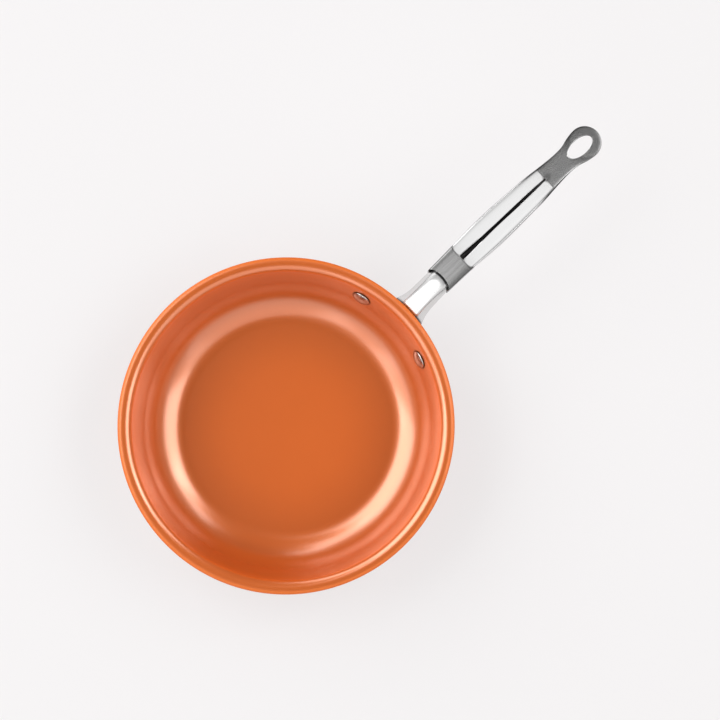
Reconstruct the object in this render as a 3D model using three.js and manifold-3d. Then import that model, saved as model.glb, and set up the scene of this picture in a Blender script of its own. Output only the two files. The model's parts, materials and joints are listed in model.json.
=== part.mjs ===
// Frying pan: coated aluminium body, riveted steel bracket and a hollow handle of two steel shells.
// Millimetres. +Z is up and the handle points along +X. The origin is the centre of the base,
// on the surface that the pan stands on.
import * as THREE from "three";
import { mergeVertices } from "three/addons/utils/BufferGeometryUtils.js";
import Module from "manifold-3d";

const { degToRad, lerp, smoothstep } = THREE.MathUtils;
const wasm = await Module();
wasm.setup();

// Fits
const seatGap = 0.3; // between pieces that are pressed, riveted or welded together
const ringSegments = 72; // facets round the body, the disc and the bracket's flange

// Pan body
const rimRadius = 127; // outermost edge of the lip
const cavityDepth = 49; // from the floor to the crest of the lip
const wallThickness = 2.5;
const floorThickness = 3.2;
const wallSlope = degToRad(72); // from the floor
const bendRadius = 8; // inside, where the floor turns up
const bendSlope = degToRad(22); // at the end of that bend
const cornerRadius = 38; // inside, from the bend to the wall
const lipRadius = 10; // upper face of the rolled lip
const lipStart = degToRad(80); // slope of the lip where it leaves the wall
const lipDroop = degToRad(8); // slope of the lip past its crest
const baseStep = 3; // how far the flat base stays inside the floor's edge

// Induction disc in the underside, held by studs of the body
const discMargin = 11; // from the edge of the flat base to the disc
const discThickness = 0.8;
const discProud = 0.4; // how far the disc stands out of the body
const discChamfer = 0.5;
const studRadius = 2.4;
const studRecess = 0.15; // the studs end this far inside the disc's face
const studPitch = 18.5; // between the rings of studs

// Rivets
const rivetSpacing = 64.4; // between the two heads
const rivetMargin = 0.6; // from the crease under the lip to the edge of a head
const shankRadius = 2.5;
const headRadius = 7.2;
const headHeight = 2.7;
const headEdge = 0.6; // straight edge under the dome
const tailRadius = 4.8;
const tailHeight = 2;

// Bracket: a flange on the wall and a neck that rises under the lip into the handle
const flangeThickness = 2;
const lobeMargin = 2.6; // flange round the tail of each rivet
const flangeDepth = 20; // from the flange's upper edge to its lower one
const flangeFoot = 20; // half width of that lower edge
const footRadius = 4; // corners of that lower edge
const neckThickness = 2;
const neckSlope = degToRad(31); // under the lip
const neckDepth = 16; // at the edge of the lip
const neckWidth = 28.4; // at the edge of the lip
const neckReach = 29.2; // from the edge of the lip to the mouth of the handle
const crownWidth = 12; // flat top of the neck
const crownRound = 1.6; // corners of that flat top
const lipClearance = 0.4; // between the lip and the top of the neck
const tongueMargin = 3; // from the end of the neck, inside the handle, to the groove

// Handle shells
const shellThickness = 1.2;
const handleLength = 163.2; // from the mouth to the tip
const mouthWidth = 21.6;
const mouthThickness = 12.4;
const mouthRise = 15.6; // top of the mouth over the crest of the lip
const mouthSetback = 4.7; // the top of the mouth lies this much behind its sides
const mouthSquareness = 5; // power of the section's outline: 2 is an ellipse
const frontSlope = degToRad(20); // top of the handle, from the mouth to the groove
const gripSlope = degToRad(2); // beside the groove
const tipSlope = degToRad(-4); // from the groove to the tip
const bendLength = 1.5; // of the two bends between those slopes
const gripWidth = 25.5;
const gripThickness = 13;
const gripMiddle = 54; // from the mouth to the widest part of the grip
const gripSquareness = 10;
const waistWidth = 17.8; // between the grip and the eye
const waistFromTip = 34;
const tipRadius = 12.4;
const tipSquareness = 12;
const grooveMouth = 3.7; // width of the groove at its pan end
const grooveWidth = 2.1;
const grooveDepth = 2.6;
const grooveStart = 23; // from the mouth
const grooveEnd = 109.4;
const grooveRampIn = 4; // over which the groove sinks at its pan end
const grooveRampOut = 12; // over which it runs out at its far end
const eyeLength = 22.4; // hanging eye through both shells
const eyeWidth = 11.9;
const eyeRim = 5.8; // metal between the eye and the tip

// Derived places, as radius or X and height
const floorHeight = discProud + floorThickness;
const crestHeight = floorHeight + cavityDepth;
const edgeRadius = wallThickness / 2;
const crestRadius = rimRadius - edgeRadius - (lipRadius - edgeRadius) * Math.sin(lipDroop);
const lipCentre = [crestRadius, crestHeight - lipRadius];
const lipUnderside = lipCentre[1] + (lipRadius - edgeRadius) * Math.cos(lipDroop) - edgeRadius;
const creaseRadius = crestRadius - lipRadius * Math.sin(lipStart);
const creaseHeight = lipCentre[1] + lipRadius * Math.cos(lipStart);
const bendHeight = floorHeight + bendRadius * (1 - Math.cos(bendSlope));
const straightHeight = bendHeight + cornerRadius * (Math.cos(bendSlope) - Math.cos(wallSlope));
const straightRadius = creaseRadius - (creaseHeight - straightHeight) / Math.tan(wallSlope);
const bendEnd = straightRadius - cornerRadius * (Math.sin(wallSlope) - Math.sin(bendSlope));
const floorRadius = bendEnd - bendRadius * Math.sin(bendSlope);
const baseRadius = floorRadius - baseStep;
const discRadius = baseRadius - discMargin;
const mouthX = rimRadius + neckReach;
const waistAt = handleLength - waistFromTip;
const tipCentre = handleLength - tipRadius;
const tongueLength = grooveStart - tongueMargin;

// Points of an arc about a centre, both ends included
function arc([x, y], radius, from, to, steps) {
  const points = [];
  for (let i = 0; i <= steps; i += 1) {
    const angle = lerp(from, to, i / steps);
    points.push([x + radius * Math.cos(angle), y + radius * Math.sin(angle)]);
  }
  return points;
}

// A smooth curve through a few [position, value] pairs
function along(pairs, endingEnd = THREE.ZeroCurvatureEnding) {
  const positions = pairs.map((pair) => pair[0]);
  const values = pairs.map((pair) => pair[1]);
  const curve = new THREE.CubicInterpolant(positions, values, 1);
  curve.settings = { endingStart: THREE.ZeroCurvatureEnding, endingEnd };
  return (position) => curve.evaluate(position)[0];
}

// A solid of revolution about Z from [radius, height] points that run from its top to its bottom
function revolve(profile, segments = ringSegments) {
  const points = profile.map(([radius, height]) => new THREE.Vector2(radius, height));
  return new THREE.LatheGeometry(points.reverse(), segments).rotateX(Math.PI / 2);
}

// A skin over rings of equal length. Each ring runs out along a section and back inside it,
// so the ends are closed by strips between the two runs.
function loft(rings) {
  const count = rings[0].length;
  const last = (rings.length - 1) * count;
  const index = [];
  for (let start = 0; start < last; start += count) {
    for (let k = 0; k < count; k += 1) {
      const next = (k + 1) % count;
      index.push(start + k, start + next, start + count + k);
      index.push(start + next, start + count + next, start + count + k);
    }
  }
  for (let k = 0; k < count / 2 - 1; k += 1) {
    const back = count - 1 - k;
    index.push(k, back, k + 1, k + 1, back, back - 1);
    index.push(last + k, last + k + 1, last + back, last + k + 1, last + back - 1, last + back);
  }
  const geometry = new THREE.BufferGeometry();
  geometry.setAttribute("position", new THREE.Float32BufferAttribute(rings.flat(2), 3));
  geometry.setIndex(index);
  return geometry;
}

function solid(geometry) {
  const plain = geometry.clone();
  plain.deleteAttribute("normal");
  plain.deleteAttribute("uv");
  const merged = mergeVertices(plain, 1e-4);
  const mesh = new wasm.Mesh({
    numProp: 3,
    vertProperties: merged.attributes.position.array,
    triVerts: new Uint32Array(merged.index.array),
  });
  return new wasm.Manifold(mesh);
}

function geometryOf(body) {
  const mesh = body.getMesh();
  const geometry = new THREE.BufferGeometry();
  geometry.setAttribute("position", new THREE.BufferAttribute(mesh.vertProperties, 3));
  geometry.setIndex(new THREE.BufferAttribute(mesh.triVerts, 1));
  geometry.computeVertexNormals();
  return geometry;
}

// An upright round bar between two heights
function bar(radius, from, to, segments) {
  const geometry = new THREE.CylinderGeometry(radius, radius, to - from, segments);
  return geometry.rotateX(Math.PI / 2).translate(0, 0, (from + to) / 2);
}

// Radius of the outer wall's cone, moved out by an offset, at a height
function outerWall(offset, height) {
  const inner = creaseRadius + (height - creaseHeight) / Math.tan(wallSlope);
  return inner + (wallThickness + offset) / Math.sin(wallSlope);
}

// Rivet places: the origin lies on the inner wall and +Z points into the pan
const rivetDrop = headRadius + rivetMargin;
const rivetRadius = creaseRadius - rivetDrop * Math.cos(wallSlope);
const rivetHeight = creaseHeight - rivetDrop * Math.sin(wallSlope);
const rivetAngle = Math.asin(rivetSpacing / 2 / rivetRadius);
function rivetFrame(side) {
  const turn = new THREE.Matrix4().makeRotationZ(side * rivetAngle);
  const place = new THREE.Matrix4().makeTranslation(rivetRadius, 0, rivetHeight);
  const tilt = new THREE.Matrix4().makeRotationY(-wallSlope);
  return turn.multiply(place).multiply(tilt);
}

// Rivet about its own axis: domed head, shank and peened tail. The head's seat is flat, so it stands
// off the hollow wall by the wall's rise across the head.
const headSeat = seatGap + (headRadius ** 2 * Math.sin(wallSlope)) / (2 * rivetRadius);
const tailSeat = -(wallThickness + flangeThickness + 2 * seatGap);
const domeHeight = headHeight - headEdge;
const headDome = (headRadius ** 2 + domeHeight ** 2) / (2 * domeHeight);
const headCentre = [0, headSeat + headHeight - headDome];
const headAngle = Math.PI / 2 - Math.asin(headRadius / headDome);
const tailDome = (tailRadius ** 2 + tailHeight ** 2) / (2 * tailHeight);
const tailCentre = [0, tailSeat - tailHeight + tailDome];
const tailAngle = Math.asin(tailRadius / tailDome) - Math.PI / 2;
const rivetProfile = [
  ...arc(headCentre, headDome, Math.PI / 2, headAngle, 5),
  [headRadius, headSeat],
  [shankRadius, headSeat],
  [shankRadius, tailSeat],
  ...arc(tailCentre, tailDome, tailAngle, -Math.PI / 2, 4),
];
const rivet = revolve(rivetProfile, 20);
const rivetHoles = [1, -1].map((side) => {
  const hole = bar(shankRadius + seatGap, tailSeat - tailHeight, headSeat + headHeight, 20);
  return solid(hole.applyMatrix4(rivetFrame(side)));
});

// Pan body: inside from the axis to the lip, then back along the underside
const bendCentre = [floorRadius, floorHeight + bendRadius];
const cornerFrom = bendSlope - Math.PI / 2;
const [cornerCentre] = arc(bendCentre, bendRadius - cornerRadius, cornerFrom, cornerFrom, 1);
const cornerEnd = wallSlope - Math.PI / 2;
const lipFrom = Math.PI / 2 + lipStart;
const lipTo = Math.PI / 2 - lipDroop;
const [sheetEnd] = arc(lipCentre, lipRadius - edgeRadius, lipTo, lipTo, 1);
const outerCrease = creaseHeight - wallThickness * Math.cos(wallSlope);
const bodyProfile = [
  [0, floorHeight],
  ...arc(bendCentre, bendRadius, -Math.PI / 2, cornerFrom, 2),
  ...arc(cornerCentre, cornerRadius, cornerFrom, cornerEnd, 6).slice(1),
  ...arc(lipCentre, lipRadius, lipFrom, lipTo, 6),
  ...arc(sheetEnd, edgeRadius, lipTo, lipTo - Math.PI, 4).slice(1),
  ...arc(lipCentre, lipRadius - wallThickness, lipTo, lipFrom, 4).slice(1),
  [outerWall(0, outerCrease), outerCrease],
  ...arc(cornerCentre, cornerRadius + wallThickness, cornerEnd, cornerFrom, 5),
  ...arc(bendCentre, bendRadius + wallThickness, cornerFrom, -Math.PI / 2, 2).slice(1),
  [baseRadius, discProud],
  [discRadius + seatGap, discProud],
  [discRadius + seatGap, discThickness],
  [0, discThickness],
];

// Studs in rings, each ring with six more than the one inside it
const studRings = Math.floor((discRadius - 2 * studRadius) / studPitch);
const studs = [];
const studHoles = [];
for (let ring = 1; ring <= studRings; ring += 1) {
  for (let k = 0; k < 6 * ring; k += 1) {
    const angle = (k * Math.PI) / (3 * ring);
    const x = ring * studPitch * Math.cos(angle);
    const y = ring * studPitch * Math.sin(angle);
    const stud = bar(studRadius, studRecess, discThickness + floorThickness / 2, 8);
    const hole = bar(studRadius + seatGap, -discThickness, 2 * discThickness, 8);
    studs.push(solid(stud.translate(x, y, 0)));
    studHoles.push(solid(hole.translate(x, y, 0)));
  }
}
const panBody = solid(revolve(bodyProfile))
  .add(wasm.Manifold.union(studs))
  .subtract(wasm.Manifold.union(rivetHoles));

const discProfile = [
  [0, discThickness],
  [discRadius, discThickness],
  [discRadius, discChamfer],
  [discRadius - discChamfer, 0],
  [0, 0],
];
const inductionDisc = solid(revolve(discProfile)).subtract(wasm.Manifold.union(studHoles));

// Handle curves, by the distance from the mouth
const eyeThickness = 2 * shellThickness + seatGap;
const widthAlong = along([
  [0, mouthWidth],
  [grooveStart, lerp(mouthWidth, gripWidth, 0.25)],
  [gripMiddle, gripWidth],
  [lerp(gripMiddle, waistAt, 0.5), lerp(gripWidth, waistWidth, 0.3)],
  [waistAt, waistWidth],
  [lerp(waistAt, tipCentre, 0.3), lerp(waistWidth, 2 * tipRadius, 0.17)],
  [lerp(waistAt, tipCentre, 0.6), lerp(waistWidth, 2 * tipRadius, 0.68)],
  [tipCentre, 2 * tipRadius],
], THREE.ZeroSlopeEnding);
const bodyThicknessAlong = along([
  [0, mouthThickness],
  [lerp(grooveStart, gripMiddle, 0.3), gripThickness],
  [lerp(gripMiddle, waistAt, 0.15), gripThickness],
  [lerp(gripMiddle, waistAt, 0.8), lerp(gripThickness, eyeThickness, 0.58)],
  [waistAt, eyeThickness],
  [handleLength, eyeThickness],
]);
const squarenessAlong = along([
  [0, mouthSquareness],
  [grooveStart, lerp(mouthSquareness, gripSquareness, 0.3)],
  [gripMiddle, gripSquareness],
  [handleLength, tipSquareness],
]);
const grooveWidthAlong = along([
  [grooveStart, grooveMouth],
  [gripMiddle, grooveWidth],
  [grooveEnd - grooveRampOut, grooveWidth],
  [grooveEnd, grooveWidth / 2],
]);

function thicknessAlong(distance) {
  return Math.max(eyeThickness, bodyThicknessAlong(distance));
}

// How far a place lies past a bend, with the bend rounded over its length
function pastBend(distance, bend) {
  const start = distance - bend + bendLength / 2;
  if (start > bendLength) return distance - bend;
  return Math.max(0, start) ** 2 / (2 * bendLength);
}

// Top of the handle over the crest of the lip: three straight runs with two bends between them
function riseAlong(distance) {
  const frontRise = mouthRise + Math.tan(frontSlope) * distance;
  const gripTurn = Math.tan(gripSlope) - Math.tan(frontSlope);
  const tipTurn = Math.tan(tipSlope) - Math.tan(gripSlope);
  return frontRise + gripTurn * pastBend(distance, grooveStart) + tipTurn * pastBend(distance, grooveEnd);
}

function seamAlong(distance) {
  return crestHeight + riseAlong(distance) - thicknessAlong(distance) / 2;
}

function halfWidth(distance) {
  if (distance <= tipCentre) return widthAlong(distance) / 2;
  return Math.sqrt(tipRadius ** 2 - (distance - tipCentre) ** 2);
}

// Half of a section, from one seam edge over the top to the other, as [across, above the seam].
// The middle point is pressed in by the groove.
function arch(half, height, power, slot, depth, count) {
  const slotHalf = Math.min(slot, half) / 2;
  const lastAngle = Math.acos((slotHalf / half) ** (power / 2));
  const right = [];
  for (let k = 0; k < count; k += 1) {
    const angle = (lastAngle * k) / (count - 1);
    right.push([half * Math.cos(angle) ** (2 / power), height * Math.sin(angle) ** (2 / power)]);
  }
  const left = right.map(([across, above]) => [-across, above]).reverse();
  return [...right, [0, height - depth], ...left];
}

// One section of a shell: side is 1 for the top and -1 for the bottom. Only the top has the groove
// and the leaning mouth. At the eye the shell is one flat sheet, without a hollow.
function shellRing(distance, side, count) {
  const half = halfWidth(distance);
  const height = (thicknessAlong(distance) - seatGap) / 2;
  const hollow = Math.max(0, height - shellThickness);
  const innerHalf = Math.max(half - shellThickness, half / 2);
  const power = squarenessAlong(distance);
  const slot = grooveWidthAlong(distance);
  const fadeIn = smoothstep(distance, grooveStart, grooveStart + grooveRampIn);
  const fadeOut = smoothstep(-distance, -grooveEnd, grooveRampOut - grooveEnd);
  const depth = side > 0 ? Math.min(grooveDepth, hollow / 2) * fadeIn * fadeOut : 0;
  const lean = side > 0 ? mouthSetback * Math.max(0, 1 - distance / grooveStart) : 0;
  const outer = arch(half, height, power, slot, depth, count);
  const inner = arch(innerHalf, hollow, power, slot + 2 * shellThickness, depth, count);
  const ring = [...outer, ...inner.reverse()].map(([across, above]) => {
    const place = distance + lean * Math.sqrt(1 - (across / half) ** 2);
    return [mouthX + place, across, seamAlong(place) + side * (seatGap / 2 + above)];
  });
  return side > 0 ? ring : ring.reverse();
}

const stations = [];
for (let k = 0; k <= 28; k += 1) stations.push((tipCentre * k) / 28);
for (let k = 1; k <= 7; k += 1) stations.push(tipCentre + tipRadius * Math.sin((k * degToRad(86)) / 7));

const eyeShape = new THREE.Shape().absellipse(0, 0, eyeLength / 2, eyeWidth / 2, 0, 2 * Math.PI);
const eyeCut = new THREE.ExtrudeGeometry(eyeShape, {
  depth: 2 * mouthRise,
  bevelEnabled: false,
  curveSegments: 16,
});
eyeCut.translate(mouthX + handleLength - eyeRim - eyeLength / 2, 0, crestHeight);

const topShell = solid(loft(stations.map((distance) => shellRing(distance, 1, 8))));
const bottomShell = solid(loft(stations.map((distance) => shellRing(distance, -1, 6))));

// Flange: the part of a conical ring on the wall that lies inside the flange's outline
const lobeRadius = tailRadius + lobeMargin;
const flangeTop = rivetHeight + lobeRadius * Math.sin(wallSlope);
const flangeBottom = flangeTop - flangeDepth;
const lobeSide = rivetSpacing / 2;
const lobeBottom = flangeTop - 2 * lobeRadius;
const footBend = lerp(flangeFoot, lobeSide, 0.5);
const outline = new THREE.Shape();
outline.absarc(-lobeSide, flangeTop - lobeRadius, lobeRadius, Math.PI / 2, 1.5 * Math.PI);
outline.quadraticCurveTo(-footBend, lobeBottom, -flangeFoot, flangeBottom + footRadius / 2);
outline.quadraticCurveTo(-flangeFoot, flangeBottom, footRadius - flangeFoot, flangeBottom);
outline.lineTo(flangeFoot - footRadius, flangeBottom);
outline.quadraticCurveTo(flangeFoot, flangeBottom, flangeFoot, flangeBottom + footRadius / 2);
outline.quadraticCurveTo(footBend, lobeBottom, lobeSide, lobeBottom);
outline.absarc(lobeSide, flangeTop - lobeRadius, lobeRadius, -Math.PI / 2, Math.PI / 2);
const outlineCut = new THREE.ExtrudeGeometry(outline, {
  depth: 2 * rimRadius,
  bevelEnabled: false,
  curveSegments: 8,
});
outlineCut.rotateX(Math.PI / 2).rotateZ(Math.PI / 2);

const ringLow = flangeBottom - flangeThickness;
const ringHigh = flangeTop + flangeThickness;
const flangeFace = seatGap + flangeThickness;
const flangeRing = revolve([
  [outerWall(seatGap, ringHigh), ringHigh],
  [outerWall(flangeFace, ringHigh), ringHigh],
  [outerWall(flangeFace, ringLow), ringLow],
  [outerWall(seatGap, ringLow), ringLow],
  [outerWall(seatGap, ringHigh), ringHigh],
]);

// Neck curves, by the distance from the edge of the lip. The neck starts inside the wall, where it
// is trimmed. Its top dips into the mouth, and in the handle its widest line follows the seam.
const neckRoot = outerWall(0, flangeBottom) - 2 * flangeThickness - rimRadius;
const neckEnd = neckReach + tongueLength;
const mouthHollow = (mouthThickness - seatGap) / 2 - shellThickness;
const tongueHalf = mouthWidth / 2 - shellThickness - seatGap;
const tongueHeight = 0.75 * mouthHollow; // above the seam
const tongueDrop = 0.8 * mouthHollow; // below the seam
const neckTopAtLip = lipUnderside - lipClearance;
const neckTop = along([
  [neckRoot, neckTopAtLip + neckRoot * Math.tan(neckSlope)],
  [0, neckTopAtLip],
  [neckReach, seamAlong(0) + mouthHollow],
  [neckReach + mouthSetback, seamAlong(mouthSetback) + tongueHeight],
  [neckEnd, seamAlong(tongueLength) + tongueHeight],
]);
const neckShoulder = along([
  [neckRoot, lerp(flangeBottom, flangeTop, 0.3)],
  [0, neckTopAtLip - neckDepth / 2],
  [neckReach, seamAlong(0)],
  [neckEnd, seamAlong(tongueLength)],
]);
const neckBottom = along([
  [neckRoot, flangeBottom],
  [0, neckTopAtLip - neckDepth],
  [neckReach, seamAlong(0) - tongueDrop],
  [neckEnd, seamAlong(tongueLength) - tongueDrop],
]);
const crownHalf = along([
  [neckRoot, 0.75 * crownWidth],
  [0, 0.58 * crownWidth],
  [0.4 * neckReach, 0.5 * crownWidth],
  [neckEnd, 0.42 * crownWidth],
]);
const sideHalf = along([
  [neckRoot, flangeFoot - flangeThickness],
  [0, neckWidth / 2],
  [0.25 * neckReach, lerp(mouthWidth, neckWidth, 0.25) / 2],
  [neckReach, mouthWidth / 2 - seatGap],
]);

// Corner between two straight runs, rounded through three points
function rounded(before, corner, after, cut) {
  const from = new THREE.Vector2(...before);
  const tip = new THREE.Vector2(...corner);
  const to = new THREE.Vector2(...after);
  const start = tip.clone().add(from.sub(tip).setLength(cut));
  const end = tip.clone().add(to.sub(tip).setLength(cut));
  const curve = new THREE.QuadraticBezierCurve(start, tip, end);
  return curve.getPoints(2).map((point) => [point.x, point.y]);
}

// One run of the neck's section, from one lower edge over the top to the other
function neckRun(crown, side, skirt, top, shoulder, bottom) {
  const lower = rounded([skirt, bottom], [side, shoulder], [crown, top], crownRound / 2);
  const upper = rounded([side, shoulder], [crown, top], [0, top], crownRound);
  const right = [[skirt, bottom], ...lower, ...upper];
  return [...right, ...right.map(([across, height]) => [-across, height]).reverse()];
}

function neckRing(distance, side, skirt) {
  const top = neckTop(distance);
  const shoulder = neckShoulder(distance);
  const bottom = neckBottom(distance);
  const crown = crownHalf(distance);
  const sheet = neckThickness;
  const outer = neckRun(crown, side, skirt, top, shoulder, bottom);
  const innerSide = [crown - 0.5 * sheet, side - 1.1 * sheet, skirt - sheet];
  const inner = neckRun(...innerSide, top - sheet, shoulder - 0.4 * sheet, bottom);
  return [...outer, ...inner.reverse()].map(([across, height]) => [rimRadius + distance, across, height]);
}

const neckRings = [];
for (let k = 0; k <= 8; k += 1) {
  const distance = lerp(neckRoot, neckReach - 3 * seatGap, k / 8);
  const side = sideHalf(distance);
  neckRings.push(neckRing(distance, side, 0.9 * side));
}
for (const distance of [-seatGap, mouthSetback / 2, mouthSetback, tongueLength]) {
  neckRings.push(neckRing(neckReach + distance, tongueHalf, 0.65 * tongueHalf));
}

// The neck ends inside the flange's sheet
const middleFace = seatGap + flangeThickness / 2;
const wallCore = revolve([
  [0, crestHeight],
  [outerWall(middleFace, crestHeight), crestHeight],
  [outerWall(middleFace, 0), 0],
  [0, 0],
]);
const flange = solid(flangeRing).intersect(solid(outlineCut));
const neck = solid(loft(neckRings)).subtract(solid(wallCore));
const handleBracket = flange.add(neck).subtract(wasm.Manifold.union(rivetHoles));

// Named pieces
const group = new THREE.Group();
group.name = "copper_frying_pan";

function piece(name, geometry, color, metalness, roughness) {
  const material = new THREE.MeshStandardMaterial({ color, metalness, roughness });
  const mesh = new THREE.Mesh(geometry, material);
  mesh.name = name;
  group.add(mesh);
  return mesh;
}

piece("pan_body", geometryOf(panBody), 0xc8652f, 0.7, 0.35);
piece("induction_disc", geometryOf(inductionDisc), 0xb4b6b8, 1, 0.35);
piece("handle_bracket", geometryOf(handleBracket), 0xc9cbcc, 1, 0.2);
piece("rivet_left", rivet.clone(), 0xb9bbbc, 1, 0.25).applyMatrix4(rivetFrame(1));
piece("rivet_right", rivet.clone(), 0xb9bbbc, 1, 0.25).applyMatrix4(rivetFrame(-1));
piece("handle_top_shell", geometryOf(topShell.subtract(solid(eyeCut))), 0xc9cbcc, 1, 0.2);
piece("handle_bottom_shell", geometryOf(bottomShell.subtract(solid(eyeCut))), 0xc0c2c4, 1, 0.25);

export default group;
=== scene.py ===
import bpy
import json
from math import acos, asin, cos, pi, radians, sin, sqrt, tan
from mathutils import Matrix, Vector

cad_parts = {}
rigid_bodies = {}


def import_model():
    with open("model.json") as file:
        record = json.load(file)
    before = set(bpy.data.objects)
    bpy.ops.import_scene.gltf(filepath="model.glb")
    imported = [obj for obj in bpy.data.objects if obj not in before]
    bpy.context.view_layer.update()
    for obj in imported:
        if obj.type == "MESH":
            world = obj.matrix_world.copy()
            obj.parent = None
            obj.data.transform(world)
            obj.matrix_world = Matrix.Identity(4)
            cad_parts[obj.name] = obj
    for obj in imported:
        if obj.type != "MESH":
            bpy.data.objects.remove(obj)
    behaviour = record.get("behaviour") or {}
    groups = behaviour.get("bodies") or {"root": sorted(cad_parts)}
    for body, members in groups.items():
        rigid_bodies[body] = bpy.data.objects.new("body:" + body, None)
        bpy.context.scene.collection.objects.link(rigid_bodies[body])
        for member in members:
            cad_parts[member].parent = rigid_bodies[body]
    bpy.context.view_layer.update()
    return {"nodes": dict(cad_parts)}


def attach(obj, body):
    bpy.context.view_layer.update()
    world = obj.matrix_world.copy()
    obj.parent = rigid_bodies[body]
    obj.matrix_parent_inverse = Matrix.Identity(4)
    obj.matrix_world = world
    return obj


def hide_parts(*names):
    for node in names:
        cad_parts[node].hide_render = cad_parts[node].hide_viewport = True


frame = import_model()
print("frame loaded:", sorted(frame["nodes"]))

mm = 0.001  # lengths are in millimetres and angles in degrees, unless a note says metres
seatGap = 0.3  # between pieces that are pressed, riveted or welded together
mergeGap = 0.002  # points closer than this become one


# curves

def lerp(start, end, share):
    return start + (end - start) * share


def between(first, second, share):
    return lerp(first[0], second[0], share), lerp(first[1], second[1], share)


def ease(value, low, high):
    share = min(1, max(0, (value - low) / (high - low)))
    return share * share * (3 - 2 * share)


def arc(centre, radius, start, end, steps):
    points = []
    for step in range(steps + 1):
        angle = lerp(start, end, step / steps)
        points.append((centre[0] + radius * cos(angle), centre[1] + radius * sin(angle)))
    return points


def along(pairs, endSlope=None):
    # a smooth line through pairs of place and value, level past both ends
    places = [pair[0] for pair in pairs]
    values = [pair[1] for pair in pairs]
    chords = []
    for k in range(len(pairs) - 1):
        chords.append((values[k + 1] - values[k]) / (places[k + 1] - places[k]))
    slopes = [chords[0]]
    for k in range(1, len(chords)):
        slopes.append((chords[k - 1] + chords[k]) / 2)
    slopes.append(chords[-1] if endSlope is None else endSlope)

    def at(place):
        if place <= places[0]:
            return values[0]
        if place >= places[-1]:
            return values[-1]
        k = max(i for i in range(len(chords)) if places[i] <= place)
        span = places[k + 1] - places[k]
        t = (place - places[k]) / span
        rise = slopes[k] * span * t * (1 - t) ** 2 - slopes[k + 1] * span * t * t * (1 - t)
        return values[k] + (values[k + 1] - values[k]) * t * t * (3 - 2 * t) + rise

    return at


def evenly(points, count):
    # the same line through count + 1 points at equal steps
    lengths = [0]
    for a, b in zip(points, points[1:]):
        lengths.append(lengths[-1] + sqrt((b[0] - a[0]) ** 2 + (b[1] - a[1]) ** 2))
    spaced = []
    k = 0
    for step in range(count + 1):
        wanted = lengths[-1] * step / count
        while k < len(points) - 2 and lengths[k + 1] < wanted:
            k += 1
        share = (wanted - lengths[k]) / max(1e-9, lengths[k + 1] - lengths[k])
        spaced.append(between(points[k], points[k + 1], share))
    return spaced


# modelling steps

def deselect():
    bpy.ops.object.select_all(action="DESELECT")


def setMode(mode):
    bpy.ops.object.mode_set(mode=mode)


def activate(piece):
    deselect()
    piece.select_set(True)
    bpy.context.view_layer.objects.active = piece


def started(name):
    piece = bpy.context.object
    piece.name = name
    piece.data.name = name
    return piece


def mergeAndFaceOut():
    bpy.ops.mesh.select_all(action="SELECT")
    bpy.ops.mesh.remove_doubles(threshold=mergeGap * mm)
    bpy.ops.mesh.normals_make_consistent(inside=False)


def spinProfile(name, profile, steps):
    # one vertex is drawn along the profile and spun about Z
    deselect()
    bpy.ops.mesh.primitive_plane_add(size=mm)
    piece = started(name)
    setMode("EDIT")
    bpy.ops.mesh.select_all(action="SELECT")
    bpy.ops.mesh.merge(type="CENTER")
    places = [Vector((radius, 0, height)) * mm for radius, height in profile]
    bpy.ops.transform.translate(value=places[0])
    for here, there in zip(places, places[1:]):
        bpy.ops.mesh.extrude_vertices_move(TRANSFORM_OT_translate={"value": there - here})
    bpy.ops.mesh.select_all(action="SELECT")
    bpy.ops.mesh.spin(steps=steps, angle=2 * pi, center=(0, 0, 0), axis=(0, 0, 1))
    mergeAndFaceOut()
    setMode("OBJECT")
    return piece


def pressSheet(name, rows, columns, place, outward):
    # a flat blank, each point of it pressed to its place
    deselect()
    bpy.ops.mesh.primitive_grid_add(x_subdivisions=rows, y_subdivisions=columns, size=2)
    piece = started(name)
    for vertex in piece.data.vertices:
        row = round((vertex.co.x + 1) / 2 * rows)
        column = round((vertex.co.y + 1) / 2 * columns)
        vertex.co = Vector(place(row, column)) * mm
    setMode("EDIT")
    mergeAndFaceOut()
    setMode("OBJECT")
    facing = sum((face.normal * face.area for face in piece.data.polygons), Vector())
    if facing.dot(Vector(outward)) < 0:
        setMode("EDIT")
        bpy.ops.mesh.flip_normals()
        setMode("OBJECT")
    return piece


def modify(piece, kind, **settings):
    activate(piece)
    step = piece.modifiers.new(kind.lower(), kind)
    for key, value in settings.items():
        setattr(step, key, value)
    bpy.ops.object.modifier_apply(modifier=step.name)


def combine(piece, other, operation, folded=False):
    # folded: the piece's own walls may cross in tight bends
    modify(piece, "BOOLEAN", object=other, operation=operation, solver="EXACT", use_self=folded)
    bpy.data.objects.remove(other)


def joinAll(pieces, name):
    deselect()
    for piece in pieces:
        piece.select_set(True)
    bpy.context.view_layer.objects.active = pieces[0]
    bpy.ops.object.join()
    return started(name)


def placePiece(piece, matrix):
    activate(piece)
    piece.matrix_world = matrix
    bpy.ops.object.transform_apply(location=True, rotation=True, scale=True)


def shadeSmooth(piece, angle):
    activate(piece)
    bpy.ops.object.shade_smooth_by_angle(angle=radians(angle))


def dress(piece, material, slot, *nodes):
    piece.data.materials.clear()
    piece.data.materials.append(material)
    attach(piece, "root")
    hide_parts(*nodes)


# shader maths

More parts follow.
